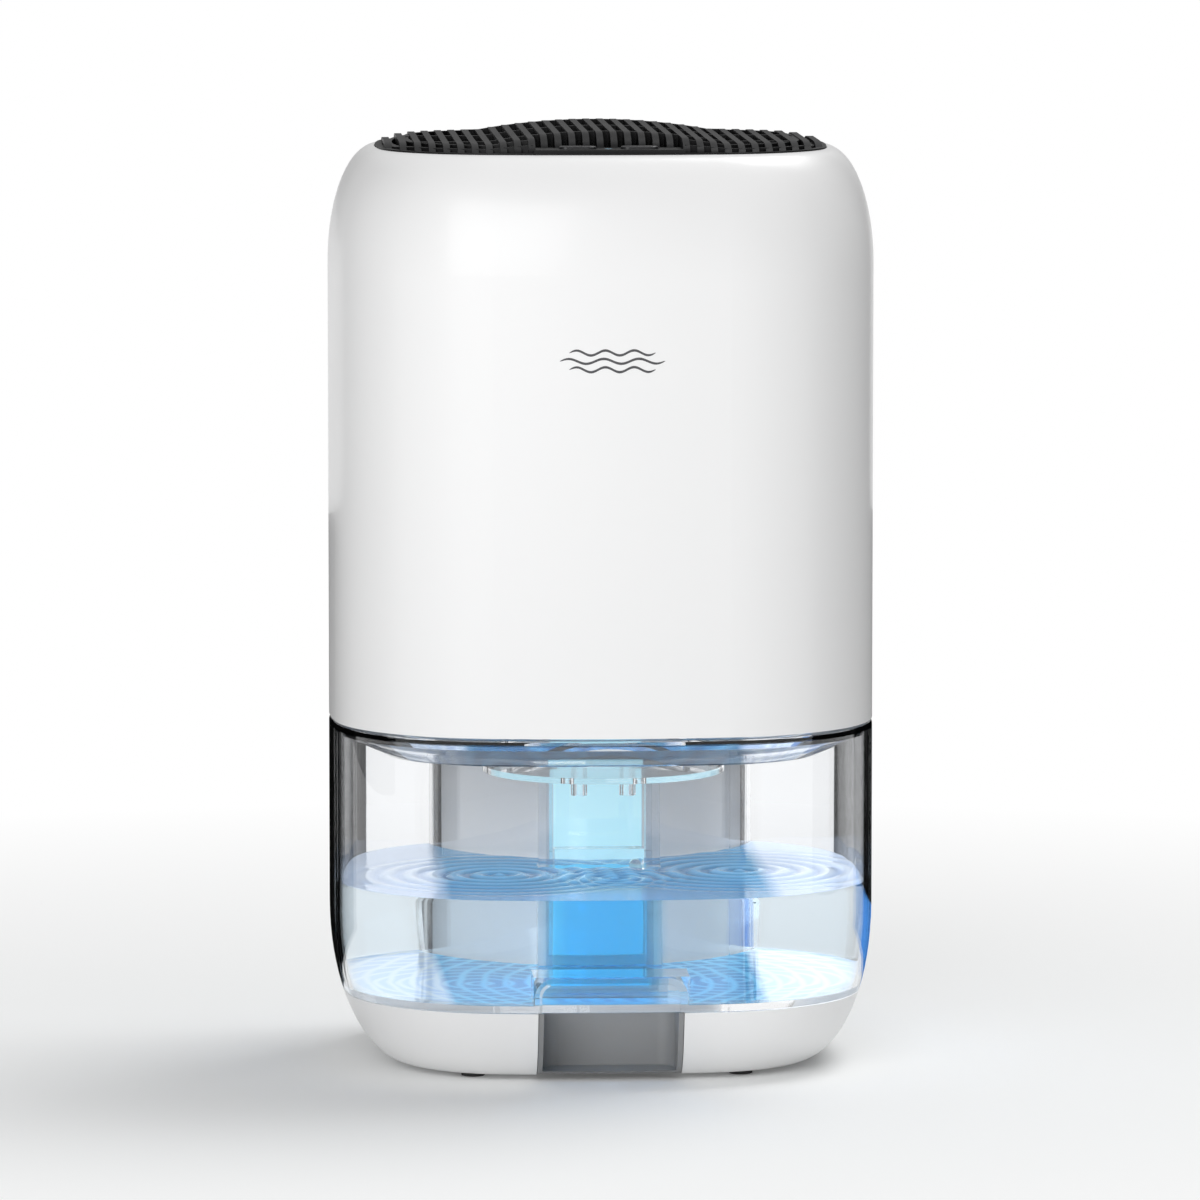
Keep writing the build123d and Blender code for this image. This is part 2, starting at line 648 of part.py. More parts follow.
with BuildPart() as fan_duct:
    middle_y = (DUCT_FRONT_Y + DUCT_BACK_Y) / 2
    with BuildSketch(Plane.XY.offset(TRAY_TOP)):
        with Locations((0, middle_y)):
            Rectangle(2 * DUCT_HALF_W, DUCT_BACK_Y - DUCT_FRONT_Y)
            Rectangle(
                2 * (DUCT_HALF_W - DUCT_WALL), DUCT_BACK_Y - DUCT_FRONT_Y - 2 * DUCT_WALL, mode=Mode.SUBTRACT
            )
    extrude(amount=FAN_Z - TRAY_TOP)
    with BuildSketch(Plane.XY.offset(FAN_Z - DUCT_WALL)):
        with Locations((0, middle_y)):
            Rectangle(2 * DUCT_HALF_W, DUCT_BACK_Y - DUCT_FRONT_Y)
        with Locations((0, FAN_Y)):
            Circle(FAN_BORE_R, mode=Mode.SUBTRACT)
        with Locations(*FAN_HOLES):
            Circle(1.9, mode=Mode.SUBTRACT)
    extrude(amount=DUCT_WALL)
    # air opening towards the rear intake
    add(
        box_between((-46, 46), (DUCT_BACK_Y - 3, DUCT_BACK_Y + 1), (SINK_LOW - 8, SINK_HIGH + 12)),
        mode=Mode.SUBTRACT,
    )
    # ribs that hold the cooling unit's foam on both sides
    for x in ((46.5, 50.5), (-50.5, -46.5)):
        for y in ((12.8, 15.8), (20.0, 23.0)):
            add(box_between(x, y, (SINK_LOW - 4, SINK_HIGH + 4)))
    # shelf under the cooling unit
    for x in ((33, 50.5), (-50.5, -33)):
        add(box_between(x, (11, 24), (SINK_LOW - 6, SINK_LOW - 4.2)))
    # posts for the main board
    for x, z in [(34, 154), (-34, 154), (34, 222), (-34, 222)]:
        with BuildSketch(Plane.XZ.offset(-DUCT_FRONT_Y)):
            with Locations((x, z)):
                Circle(3)
        extrude(amount=14)
save(fan_duct.part, "fan_duct")

with BuildPart() as main_board:
    add(box_between((-38, 38), (BOARD_Y - 1.6, BOARD_Y), (150, 226)))
    # capacitors, a choke and two wire headers
    for x, z, radius, height in [(-24, 206, 5, 10), (-10, 206, 5, 10), (8, 204, 7, 6)]:
        with BuildSketch(Plane.XZ.offset(-BOARD_Y + 1.6)):
            with Locations((x, z)):
                Circle(radius)
        extrude(amount=height)
    for x in (-22, 10):
        add(box_between((x - 8, x + 8), (BOARD_Y - 7.6, BOARD_Y - 1.6), (158, 164)))
    add(box_between((20, 32), (BOARD_Y - 6, BOARD_Y - 1.6), (180, 196)))
save(main_board.part, "main_board")

# ---- rear air intake ---------------------------------------------------------------------------
REAR = Plane.XZ.offset(-HALF_D - 1)
INTAKE_Z = (INTAKE_LOW + INTAKE_HIGH) / 2
INTAKE_H = INTAKE_HIGH - INTAKE_LOW


def rear_panel(outer, inner, margin, radius):
    """Curved panel that follows the back between two insets, with round corners."""
    with BuildPart(mode=Mode.PRIVATE) as panel:
        add(band(outer, inner, INTAKE_LOW - margin, INTAKE_HIGH + margin))
        with BuildSketch(REAR):
            with Locations((0, INTAKE_Z)):
                RectangleRounded(2 * (INTAKE_HALF_W + margin), INTAKE_H + 2 * margin, radius)
        extrude(amount=HALF_D / 2, mode=Mode.INTERSECT)
    return panel.part


with BuildPart() as rear_grille:
    add(rear_panel(0.4, 2.7, 0, 10))
    add(rear_panel(2.7, 4.4, 4, 13))
    with BuildSketch(REAR):
        for row in range(17):
            with Locations((-24, INTAKE_Z + 5.6 * (row - 8)), (24, INTAKE_Z + 5.6 * (row - 8))):
                SlotOverall(44, 3.2)
    extrude(amount=HALF_D / 2, mode=Mode.SUBTRACT)
    # screw pockets
    with BuildSketch(REAR):
        with Locations(*INTAKE_SCREWS):
            Circle(1.7)
    extrude(amount=HALF_D / 2, mode=Mode.SUBTRACT)
    with BuildSketch(REAR):
        with Locations(*INTAKE_SCREWS):
            Circle(3.3)
    extrude(amount=HALF_D + 1 - 70.6, mode=Mode.SUBTRACT)
save(rear_grille.part, "rear_grille")

with BuildPart() as intake_screws:
    for x, z in INTAKE_SCREWS:
        add(screw(x, 70.6, z, (0, -1, 0), 8))
save(intake_screws.part, "intake_screws")

# ---- spine -------------------------------------------------------------------------------------
with BuildPart() as spine_column:
    add(spine_arc(SPINE_R - SPINE_WALL, SPINE_R, SPINE_LOW, TRAY_Z))
    add(box_between((-60, 60), (TRIM_Y, 90), (0, 120)), mode=Mode.SUBTRACT)
    add(
        box_between((-WINDOW_HALF_W, WINDOW_HALF_W), (20, 40), (WINDOW_LOW, WINDOW_HIGH)),
        mode=Mode.SUBTRACT,
    )
    # slotted ribs that hold the light board
    for x in ((15.9, 19), (-19, -15.9)):
        add(box_between(x, (32.8, 41), (35, 108)))
    add(box_between((-17.4, 17.4), (37, 38.8), (34, 109)), mode=Mode.SUBTRACT)
save(spine_column.part, "spine_column")

with BuildPart() as spine_trims:
    add(spine_arc(SPINE_R - SPINE_WALL, SPINE_R, TANK_Z, HOUSING_Z - 0.1))
    add(box_between((-60, 60), (TRIM_Y + 0.1, 69.6), (0, 120)), mode=Mode.INTERSECT)
    add(lower_block(2.8, TANK_Z, HOUSING_Z - 0.1), mode=Mode.INTERSECT)
save(spine_trims.part, "spine_trims")

with BuildPart() as spine_back:
    # white rear wall that follows the body's outer form between base and housing
    add(lower_block(0, BASE_TOP + 0.1, HOUSING_Z - 0.1))
    add(lower_block(2.5, BASE_TOP, HOUSING_Z), mode=Mode.SUBTRACT)
    add(box_between((-60, 60), (60, 90), (0, 130)), mode=Mode.INTERSECT)
    add(cylinder_at(0, SPINE_Y, SPINE_R + 0.1, 0, 130), mode=Mode.INTERSECT)
    for x in ((40.8, 43.2), (-43.2, -40.8)):
        add(box_between(x, (63, 72.6), (BELLY_Z, HOUSING_Z - 1)))
    with BuildSketch(Plane.XZ.offset(-HALF_D - 1)):
        with Locations((0, 42)):
            Circle(5.1)
    extrude(amount=10, mode=Mode.SUBTRACT)
save(spine_back.part, "spine_back")

with BuildPart() as light_window:
    add(spine_arc(SPINE_R - 2.2, SPINE_R, WINDOW_LOW + 0.2, WINDOW_HIGH - 0.2))
    add(spine_arc(SPINE_R - 3.8, SPINE_R - 2.6, WINDOW_LOW - 3, WINDOW_HIGH + 2.5))
    add(spine_arc(SPINE_R - 2.7, SPINE_R - 2.1, WINDOW_LOW + 0.2, WINDOW_HIGH - 0.2))
    add(box_between((-15.3, 15.3), (20, 40), (0, 120)), mode=Mode.INTERSECT)
save(light_window.part, "light_window")

with BuildPart() as light_board:
    add(box_between((-17, 17), (37.1, 38.7), (36, 107)))
    for z in (42, 54, 66, 78, 90, 102):
        for x in (-6, 6):
            add(box_between((x - 1.8, x + 1.8), (35.9, 37.1), (z - 1.8, z + 1.8)))
save(light_board.part, "light_board")

with BuildPart() as level_sensor:
    add(box_between((11.4, 15.4), (35.4, 37.0), (79, 97)))
save(level_sensor.part, "level_sensor")

with BuildPart() as power_jack:
    with BuildSketch(Plane.XZ.offset(-76.9)):
        with Locations((0, 42)):
            Circle(4.9)
    extrude(amount=4)
    add(box_between((-6, 6), (60, 73), (35.5, 47)))
    with BuildSketch(Plane.XZ.offset(-78)):
        with Locations((0, 42)):
            Circle(2.8)
            Circle(1, mode=Mode.SUBTRACT)
    extrude(amount=12, mode=Mode.SUBTRACT)
save(power_jack.part, "power_jack")

# ---- base --------------------------------------------------------------------------------------
with BuildPart() as base_shell:
    with BuildSketch(WALL):
        with BuildLine():
            Line((0, BELLY_Z), (BASE_WALL, BELLY_Z))
            EllipticalCenterArc(
                (FOOT_INSET, BELLY_Z),
                FOOT_INSET - BASE_WALL,
                BELLY_Z - BASE_Z - BASE_WALL,
                start_angle=180,
                arc_size=90,
            )
            Polyline(
                (FOOT_INSET, BASE_Z + BASE_WALL), (CORE_INSET, BASE_Z + BASE_WALL), (CORE_INSET, BASE_Z),
                (FOOT_INSET, BASE_Z),
            )
            EllipticalCenterArc(
                (FOOT_INSET, BELLY_Z), FOOT_INSET, BELLY_Z - BASE_Z, start_angle=180, arc_size=90
            )
        make_face()
        with Locations((CORE_INSET / 2, BASE_TOP / 2)):
            Rectangle(CORE_INSET + 2, BASE_TOP, mode=Mode.INTERSECT)
        # ledge that carries the deck
        with BuildLine():
            Polyline((6.4, 20), (11.5, 20), (11.5, 22), (6.4, 22), (6.4, 20))
        make_face()
    sweep(path=outline())
    add(notch(NOTCH_HALF_W + LINER_WALL + 0.2, NOTCH_BACK_Y + LINER_WALL + 0.2, 7.8), mode=Mode.SUBTRACT)
    with BuildSketch(Plane.XY.offset(BASE_Z)):
        with Locations(*FEET):
            Circle(4)
    extrude(amount=0.8, mode=Mode.SUBTRACT)
save(base_shell.part, "base_shell")

with BuildPart() as base_deck:
    add(slab(DECK_INSET, DECK_Z - DECK_THICK, DECK_Z))
    # seat for the grey strip
    add(
        box_between(
            (-STRIP_HALF_W - 0.2, STRIP_HALF_W + 0.2), (-90, SPINE_Y), (DECK_Z - STRIP_THICK - 0.1, 60)
        ),
        mode=Mode.SUBTRACT,
    )
    add(cylinder_at(0, SPINE_Y, SPINE_R + 0.3, 0, 60), mode=Mode.SUBTRACT)
    add(notch(NOTCH_HALF_W + LINER_WALL + 0.2, NOTCH_BACK_Y + LINER_WALL + 0.2, 7.8), mode=Mode.SUBTRACT)
    with BuildSketch(Plane.XY.offset(6.2)):
        with Locations(*BASE_SCREWS):
            Circle(3.6)
            Circle(1.5, mode=Mode.SUBTRACT)
    extrude(amount=DECK_Z - DECK_THICK - 6.2)
save(base_deck.part, "base_deck")

notch_liner = lower_block(0.3, BASE_Z + 0.3, BASE_TOP) & notch(
    NOTCH_HALF_W + LINER_WALL, NOTCH_BACK_Y + LINER_WALL, 7.6
)

with BuildPart() as grip_strip:
    # grey strip along the middle of the deck, and the finger notch's liner under its front end
    add(slab(DECK_INSET, DECK_Z - STRIP_THICK, DECK_Z))
    add(box_between((-STRIP_HALF_W, STRIP_HALF_W), (-90, 40), (0, 60)), mode=Mode.INTERSECT)
    add(cylinder_at(0, SPINE_Y, SPINE_R + 0.3, 0, 60), mode=Mode.SUBTRACT)
    add(notch_liner)
    add(
        notch(NOTCH_HALF_W, NOTCH_BACK_Y, NOTCH_CORNER_R, BASE_Z + LINER_WALL + 0.3),
        mode=Mode.SUBTRACT,
    )
save(grip_strip.part, "grip_strip")

with BuildPart() as base_plate:
    add(slab(28, 4.2, 6.0))
    add(notch(NOTCH_HALF_W + 2.2, NOTCH_BACK_Y + 2.2, 8), mode=Mode.SUBTRACT)
    with BuildSketch(Plane.XY.offset(4)):
        with Locations(*BASE_SCREWS):
            Circle(1.7)
    extrude(amount=3, mode=Mode.SUBTRACT)
save(base_plate.part, "base_plate")

with BuildPart() as base_screws:
    for x, y in BASE_SCREWS:
        add(screw(x, y, 4.2, (0, 0, 1), 12))
save(base_screws.part, "base_screws")

with BuildPart() as feet:
    for x, y in FEET:
        with BuildSketch(Plane.XY):
            with Locations((x, y)):
                Circle(3.9)
        extrude(amount=BASE_Z + 0.7)
    fillet(feet.faces().group_by(Axis.Z)[0].edges(), 0.4)
save(feet.part, "feet")

# ---- tank --------------------------------------------------------------------------------------
FLOOR_Z = TANK_Z + TANK_WALL


def pocket_box(grow, low):
    """Finger pocket under the tank floor, grown outward by a wall."""
    with BuildPart(mode=Mode.PRIVATE) as pocket:
        with BuildSketch(Plane.XZ.offset(-POCKET_BACK_Y - grow)):
            with Locations((0, (low - 4 + POCKET_TOP + grow) / 2)):
                RectangleRounded(2 * (POCKET_HALF_W + grow), POCKET_TOP + grow - low + 4, 4 + grow)
        extrude(amount=POCKET_BACK_Y - POCKET_FRONT_Y + 2 * grow)
    return pocket.part


with BuildPart() as tank_inside:
    add(lower_block(TANK_WALL, FLOOR_Z, TANK_RIM + 1))
    add(cylinder_at(0, SPINE_Y, RECESS_R + TANK_WALL, 0, 140), mode=Mode.SUBTRACT)
    add(pocket_box(TANK_WALL, TANK_Z), mode=Mode.SUBTRACT)

with BuildPart() as water_tank:
    add(lower_block(0, TANK_Z, TANK_RIM))
    add(cylinder_at(0, SPINE_Y, RECESS_R, 0, 140), mode=Mode.SUBTRACT)
    add(tank_inside.part, mode=Mode.SUBTRACT)
    add(pocket_box(0, TANK_Z), mode=Mode.SUBTRACT)
save(water_tank.part, "water_tank")


def basin(edge, top, lip, foot, floor, spine_gap):
    """Solid of the lid's basin: upright to lip at its edge, then sloping in to foot at the floor."""
    with BuildPart(mode=Mode.PRIVATE) as block:
        with BuildSketch(WALL):
            with BuildLine():
                Polyline(
                    (edge, top), (edge, lip), (foot, floor), (CORE_INSET, floor), (CORE_INSET, top),
                    (edge, top),
                )
            make_face()
        sweep(path=outline())
        add(slab(CORE_INSET - 1, floor, top))
        add(cylinder_at(0, SPINE_Y, RECESS_R + spine_gap, 0, 140), mode=Mode.SUBTRACT)
    return block.part


BASIN_Z = LID_TOP - LID_DROP
DISH_Z = BASIN_Z - DISH_DROP

with BuildPart() as tank_lid:
    # rim that lies on the tank's edge
    add(slab(0.3, TANK_RIM, LID_TOP))
    add(cylinder_at(0, SPINE_Y, RECESS_R, 0, 140), mode=Mode.SUBTRACT)
    # sloped basin hanging inside the tank, and the round dish in its middle
    add(basin(2.8, TANK_RIM + 0.5, TANK_RIM - 1.6, 16.8, BASIN_Z, TANK_WALL + 0.3))
    add(cylinder_at(0, DISH_Y, DISH_R + LID_THICK, DISH_Z, BASIN_Z + 0.5))
    add(
        basin(5.5, LID_TOP + 1, LID_TOP - 0.8, 18, BASIN_Z + LID_THICK, TANK_WALL + 2.6),
        mode=Mode.SUBTRACT,
    )
    add(cylinder_at(0, DISH_Y, DISH_R, DISH_Z + LID_THICK, BASIN_Z + LID_THICK + 1), mode=Mode.SUBTRACT)
    # two drip nozzles under the dish
    for x in (NOZZLE_X, -NOZZLE_X):
        add(cylinder_at(x, DISH_Y, 2.7, NOZZLE_LOW, DISH_Z + 1))
    for x in (NOZZLE_X, -NOZZLE_X):
        add(cylinder_at(x, DISH_Y, 1.5, NOZZLE_LOW - 2, LID_TOP), mode=Mode.SUBTRACT)
save(tank_lid.part, "tank_lid")

with BuildPart() as float_guide:
    for side in (1, -1):
        rail_x = sorted((side * RAIL_INNER_X, side * RAIL_OUTER_X))
        groove_x = sorted((side * (RAIL_INNER_X - 1), side * (RAIL_INNER_X + 2.2)))
        add(box_between(rail_x, (RAIL_FRONT_Y, RAIL_BACK_Y), (FLOOR_Z, RAIL_TOP)))
        add(box_between(groove_x, (7.0, 10.0), (FLOOR_Z + 1.4, RAIL_TOP + 1)), mode=Mode.SUBTRACT)
    add(box_between((-RAIL_OUTER_X, RAIL_OUTER_X), (RAIL_FRONT_Y, RAIL_BACK_Y), (FLOOR_Z, FLOOR_Z + 1.4)))
save(float_guide.part, "float_guide")

with BuildPart() as float_body:
    half = RAIL_INNER_X - FLOAT_GAP
    add(box_between((-half, half), (5, 12), (FLOAT_LOW, FLOAT_HIGH)))
    fillet(float_body.edges().filter_by(Axis.Z), 1)
    add(box_between((-half - 2.2, half + 2.2), (7.4, 9.6), (FLOAT_LOW + 1, FLOAT_HIGH - 1)))
    # pocket for the magnet
    with BuildSketch(Plane.XZ.offset(-12)):
        with Locations((MAGNET_X, (FLOAT_LOW + FLOAT_HIGH) / 2)):
            Circle(2.1)
    extrude(amount=2.6, mode=Mode.SUBTRACT)
save(float_body.part, "float_body")

with BuildPart() as float_magnet:
    with BuildSketch(Plane.XZ.offset(-11.9)):
        with Locations((MAGNET_X, (FLOAT_LOW + FLOAT_HIGH) / 2)):
            Circle(2)
    extrude(amount=2.4)
save(float_magnet.part, "float_magnet")
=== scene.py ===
"""Studio scene of a thermoelectric dehumidifier: white housing, clear water tank, lit grey spine.

Metres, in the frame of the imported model: +Z up, the front is -Y.
"""
import json
from math import atan2, cos, pi, radians, sin, sqrt

import bmesh
import bpy
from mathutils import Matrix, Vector


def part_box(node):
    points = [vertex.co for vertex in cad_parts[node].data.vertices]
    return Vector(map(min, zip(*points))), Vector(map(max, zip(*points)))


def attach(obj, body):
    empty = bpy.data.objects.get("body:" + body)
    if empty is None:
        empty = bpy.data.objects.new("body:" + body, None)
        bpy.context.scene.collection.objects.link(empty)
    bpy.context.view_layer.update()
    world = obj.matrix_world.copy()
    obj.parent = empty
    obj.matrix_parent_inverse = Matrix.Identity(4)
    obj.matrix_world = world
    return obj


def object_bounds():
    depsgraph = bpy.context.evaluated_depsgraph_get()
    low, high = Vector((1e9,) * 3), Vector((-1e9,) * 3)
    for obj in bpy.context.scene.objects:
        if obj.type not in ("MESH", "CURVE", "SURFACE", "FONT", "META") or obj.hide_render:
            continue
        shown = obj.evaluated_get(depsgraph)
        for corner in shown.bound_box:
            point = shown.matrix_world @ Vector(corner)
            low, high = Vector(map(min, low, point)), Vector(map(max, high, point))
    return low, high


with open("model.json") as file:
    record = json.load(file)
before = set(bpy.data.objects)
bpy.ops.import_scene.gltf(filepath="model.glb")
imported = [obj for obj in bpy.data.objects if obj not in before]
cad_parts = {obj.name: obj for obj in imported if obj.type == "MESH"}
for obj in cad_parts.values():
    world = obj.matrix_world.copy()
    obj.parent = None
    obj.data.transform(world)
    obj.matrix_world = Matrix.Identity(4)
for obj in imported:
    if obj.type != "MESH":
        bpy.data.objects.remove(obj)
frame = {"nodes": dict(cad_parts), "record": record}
cad_low, cad_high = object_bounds()
nodes = frame["nodes"]

# ---- places: boxes and the overall size come from the frame ------------------------------------
tank_low, tank_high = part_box("water_tank")
float_low, float_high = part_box("float_body")
HALF_W = cad_high[0]
HALF_D = cad_high[1]

# the outline's own dimensions, which the frame does not give, are repeated from the part's source
FRONT_R = 0.300  # radii of the plan outline's front, side and corner arcs
SIDE_R = 0.200
CORNER_R = 0.058
BELLY_Z = 0.052  # the lower body curves in below this height
BASE_Z = 0.0015
FOOT_INSET = 0.024
SPINE_Y = 0.0828  # axis and radius of the hollow in the tank's back
SPINE_R = 0.0551
TANK_WALL = 0.0024
FLOOR_Z = tank_low[2] + TANK_WALL
WATER_Z = (float_low[2] + float_high[2]) / 2
WATER_GAP = 0.00015  # water stands this far off the tank's inner wall
FINGER_POCKET = ((-0.0251, -0.090, 0.010), (0.0251, -0.0534, 0.0366))  # opposite corners of the pocket


# ---- node helpers ------------------------------------------------------------------------------
class Nodes:
    """A material with short calls for adding and linking its nodes."""

    def __init__(self, name):
        self.mat = bpy.data.materials.new(name)
        self.mat.use_nodes = True
        self.tree = self.mat.node_tree
        self.shader = self.tree.nodes["Principled BSDF"]
        self.output = self.tree.nodes["Material Output"]

    def add(self, kind, **settings):
        node = self.tree.nodes.new(kind)
        for key, value in settings.items():
            setattr(node, key, value)
        return node

    def link(self, source, target):
        self.tree.links.new(source, target)

    def set(self, **values):
        for key, value in values.items():
            self.shader.inputs[key.replace("_", " ")].default_value = value

    def place(self, scale=(1, 1, 1)):
        """Object coordinates in metres, stretched by scale."""
        coords = self.add("ShaderNodeTexCoord")
        mapping = self.add("ShaderNodeMapping")
        mapping.inputs["Scale"].default_value = scale
        self.link(coords.outputs["Object"], mapping.inputs["Vector"])
        return mapping.outputs["Vector"]

    def noise(self, scale, detail=3, rough=0.5, stretch=(1, 1, 1)):
        node = self.add("ShaderNodeTexNoise")
        node.inputs["Scale"].default_value = scale
        node.inputs["Detail"].default_value = detail
        node.inputs["Roughness"].default_value = rough
        self.link(self.place(stretch), node.inputs["Vector"])
        return node.outputs["Fac"]

    def ramp(self, value, low, high, start=0.3, end=0.7):
        """Maps a value to a range."""
        node = self.add("ShaderNodeMapRange")
        node.inputs["From Min"].default_value = start
        node.inputs["From Max"].default_value = end
        node.inputs["To Min"].default_value = low
        node.inputs["To Max"].default_value = high
        self.link(value, node.inputs["Value"])
        return node.outputs["Result"]

    def colours(self, value, low, high, start=0.3, end=0.7):
        node = self.add("ShaderNodeValToRGB")
        node.color_ramp.elements[0].position = start
        node.color_ramp.elements[1].position = end
        node.color_ramp.elements[0].color = (*low, 1)
        node.color_ramp.elements[1].color = (*high, 1)
        self.link(value, node.inputs["Fac"])
        return node.outputs["Color"]

    def bump(self, height, strength, distance):
        node = self.add("ShaderNodeBump")
        node.inputs["Strength"].default_value = strength
        node.inputs["Distance"].default_value = distance
        self.link(height, node.inputs["Height"])
        return node.outputs["Normal"]


def moulded(name, low, high, rough, grain=900, depth=0.00002, coat=0.0, spec=0.5):
    """Moulded plastic: slight tone drift, fine grain bump and uneven gloss."""
    m = Nodes(name)
    m.link(m.colours(m.noise(9, 2), low, high), m.shader.inputs["Base Color"])
    m.link(m.ramp(m.noise(25, 2), rough - 0.02, rough + 0.02), m.shader.inputs["Roughness"])
    m.link(m.bump(m.noise(grain, 2), 0.35, depth), m.shader.inputs["Normal"])
    m.set(Coat_Weight=coat, Coat_Roughness=0.08, Specular_IOR_Level=spec)
    return m.mat


def metal(name, low, high, rough, stretch=(1, 1, 1), grain=400):
    """Metal with drawn or turned grain."""
    m = Nodes(name)
    m.set(Metallic=1.0)
    grain_value = m.noise(grain, 5, 0.6, stretch)
    m.link(m.colours(grain_value, low, high), m.shader.inputs["Base Color"])
    m.link(m.ramp(grain_value, rough - 0.08, rough + 0.1), m.shader.inputs["Roughness"])
    m.link(m.bump(grain_value, 0.25, 0.00003), m.shader.inputs["Normal"])
    return m.mat


def clear_plastic(name, tint, rough):
    """Clear moulded plastic with faint flow ripple and uneven polish."""
    m = Nodes(name)
    m.set(Transmission_Weight=1.0, IOR=1.49, Base_Color=(*tint, 1))
    m.link(m.ramp(m.noise(30, 3), rough * 0.5, rough * 1.5), m.shader.inputs["Roughness"])
    m.link(m.bump(m.noise(38, 2, 0.4, (1, 1, 0.5)), 0.08, 0.0003), m.shader.inputs["Normal"])
    return m.mat


# ---- materials ---------------------------------------------------------------------------------
white = moulded(
    "white_gloss_plastic", (0.845, 0.845, 0.847), (0.855, 0.855, 0.855), 0.34, 1400, 0.000008, coat=0.15
)
deck = moulded("deck_plastic", (0.82, 0.84, 0.86), (0.86, 0.88, 0.9), 0.35)
black = moulded(
    "grille_plastic", (0.006, 0.006, 0.0065), (0.011, 0.011, 0.012), 0.45, 1400, 0.00004, spec=0.2
)
button = moulded("button_plastic", (0.02, 0.02, 0.022), (0.03, 0.03, 0.032), 0.3, 1600, 0.00002)
charcoal = moulded("charcoal_plastic", (0.03, 0.031, 0.034), (0.045, 0.046, 0.05), 0.55, 700, 0.00005)
fan = moulded("fan_plastic", (0.016, 0.016, 0.018), (0.028, 0.028, 0.03), 0.42, 900, 0.00003)
spine_grey = moulded("spine_plastic", (0.64, 0.66, 0.68), (0.70, 0.72, 0.74), 0.3, 1000, 0.00003)
# mid grey for the finger recess liner and the deck strip; in the finger recess this grey is partly painted
# shade
strip_grey = moulded("strip_grey_and_recess_shade", (0.225, 0.228, 0.232), (0.26, 0.263, 0.267), 0.42, 1000, 0.00003)
trim_black = moulded("trim_plastic", (0.006, 0.006, 0.008), (0.012, 0.012, 0.015), 0.22, 800, 0.00001)
switch = moulded("switch_plastic", (0.015, 0.015, 0.016), (0.03, 0.03, 0.03), 0.4, 900, 0.00003)
rubber = moulded("foot_rubber", (0.02, 0.02, 0.02), (0.04, 0.04, 0.04), 0.8, 500, 0.00012)
foam = moulded("foam", (0.015, 0.015, 0.016), (0.05, 0.05, 0.05), 0.95, 1200, 0.0004)
ceramic = moulded("cell_ceramic", (0.74, 0.74, 0.72), (0.84, 0.84, 0.83), 0.5, 800, 0.00003)
board_green = moulded("board_green", (0.01, 0.09, 0.035), (0.02, 0.16, 0.06), 0.4, 260, 0.00008)
board_white = moulded("board_white", (0.7, 0.7, 0.7), (0.85, 0.85, 0.85), 0.4, 260, 0.00008)
ferrite = moulded("ferrite", (0.02, 0.02, 0.02), (0.05, 0.05, 0.05), 0.6, 600, 0.00006)
steel = metal("screw_steel", (0.42, 0.42, 0.44), (0.62, 0.62, 0.64), 0.3)
aluminium = metal("sink_aluminium", (0.62, 0.63, 0.64), (0.78, 0.79, 0.8), 0.32, (1, 1, 0.02))
bronze = metal("bearing_bronze", (0.4, 0.25, 0.12), (0.58, 0.4, 0.2), 0.4)
copper = metal("copper_wire", (0.5, 0.2, 0.08), (0.7, 0.32, 0.16), 0.35, (1, 1, 12), 300)
nickel = metal("magnet_nickel", (0.6, 0.6, 0.6), (0.75, 0.75, 0.74), 0.15)
tank_clear = clear_plastic("tank_plastic", (0.985, 0.992, 1.0), 0.015)
float_clear = clear_plastic("float_plastic", (0.96, 0.98, 1.0), 0.06)
rail_clear = clear_plastic("rail_plastic", (0.80, 0.84, 0.88), 0.02)


def lit_window():
    """Frosted diffuser lit from behind, brightest in front of the lamps."""
    m = Nodes("lit_window")
    m.set(Base_Color=(0.18, 0.36, 0.40, 1), Roughness=0.4)
    glow = m.colours(m.noise(18, 2, 0.4, (1, 1, 0.6)), (0.36, 0.66, 0.78), (0.44, 0.74, 0.84))
    m.link(glow, m.shader.inputs["Emission Color"])
    m.set(Emission_Strength=0.8)
    m.link(m.bump(m.noise(700, 2), 0.3, 0.00003), m.shader.inputs["Normal"])
    return m.mat


def lamp_lens():
    """Small clear status lamp."""
    m = Nodes("lamp_lens")
    m.set(Base_Color=(0.6, 0.85, 1.0, 1), Transmission_Weight=0.6)
    m.link(m.ramp(m.noise(300, 2), 0.15, 0.3), m.shader.inputs["Roughness"])
    return m.mat


MATERIALS = {
    "white_gloss": white, "deck_white": deck, "grille_black": black, "button_black": button,
    "charcoal": charcoal, "fan_black": fan, "spine_grey": spine_grey, "strip_grey": strip_grey,
    "trim_black": trim_black, "switch_black": switch, "foot_rubber": rubber, "foam": foam,
    "cell_ceramic": ceramic, "board_green": board_green, "board_white": board_white,
    "ferrite": ferrite, "screw_steel": steel, "sink_aluminium": aluminium,
    "bearing_bronze": bronze, "copper": copper, "magnet_nickel": nickel,
    "clear_tank": tank_clear, "float_clear": float_clear, "window_lit": lit_window(), "lamp": lamp_lens(),
}
for part in frame["record"]["subparts"]:
    obj = nodes[part["node"]]
    obj.data.materials.clear()
    obj.data.materials.append(MATERIALS[part["material_slot"]])
nodes["float_guide"].data.materials[0] = rail_clear


# ---- plan outline ------------------------------------------------------------------------------
def corner_centre():
    """Centre of the corner arc that is tangent to the front and side arcs."""
    front_y, side_x = HALF_D - FRONT_R, HALF_W - SIDE_R
    to_front, to_side = FRONT_R - CORNER_R, SIDE_R - CORNER_R
    span = sqrt(side_x**2 + front_y**2)
    along = (to_front**2 - to_side**2 + span**2) / (2 * span)
    across = sqrt(to_front**2 - along**2)
    return (along * side_x - across * front_y) / span, front_y - (along * front_y + across * side_x) / span


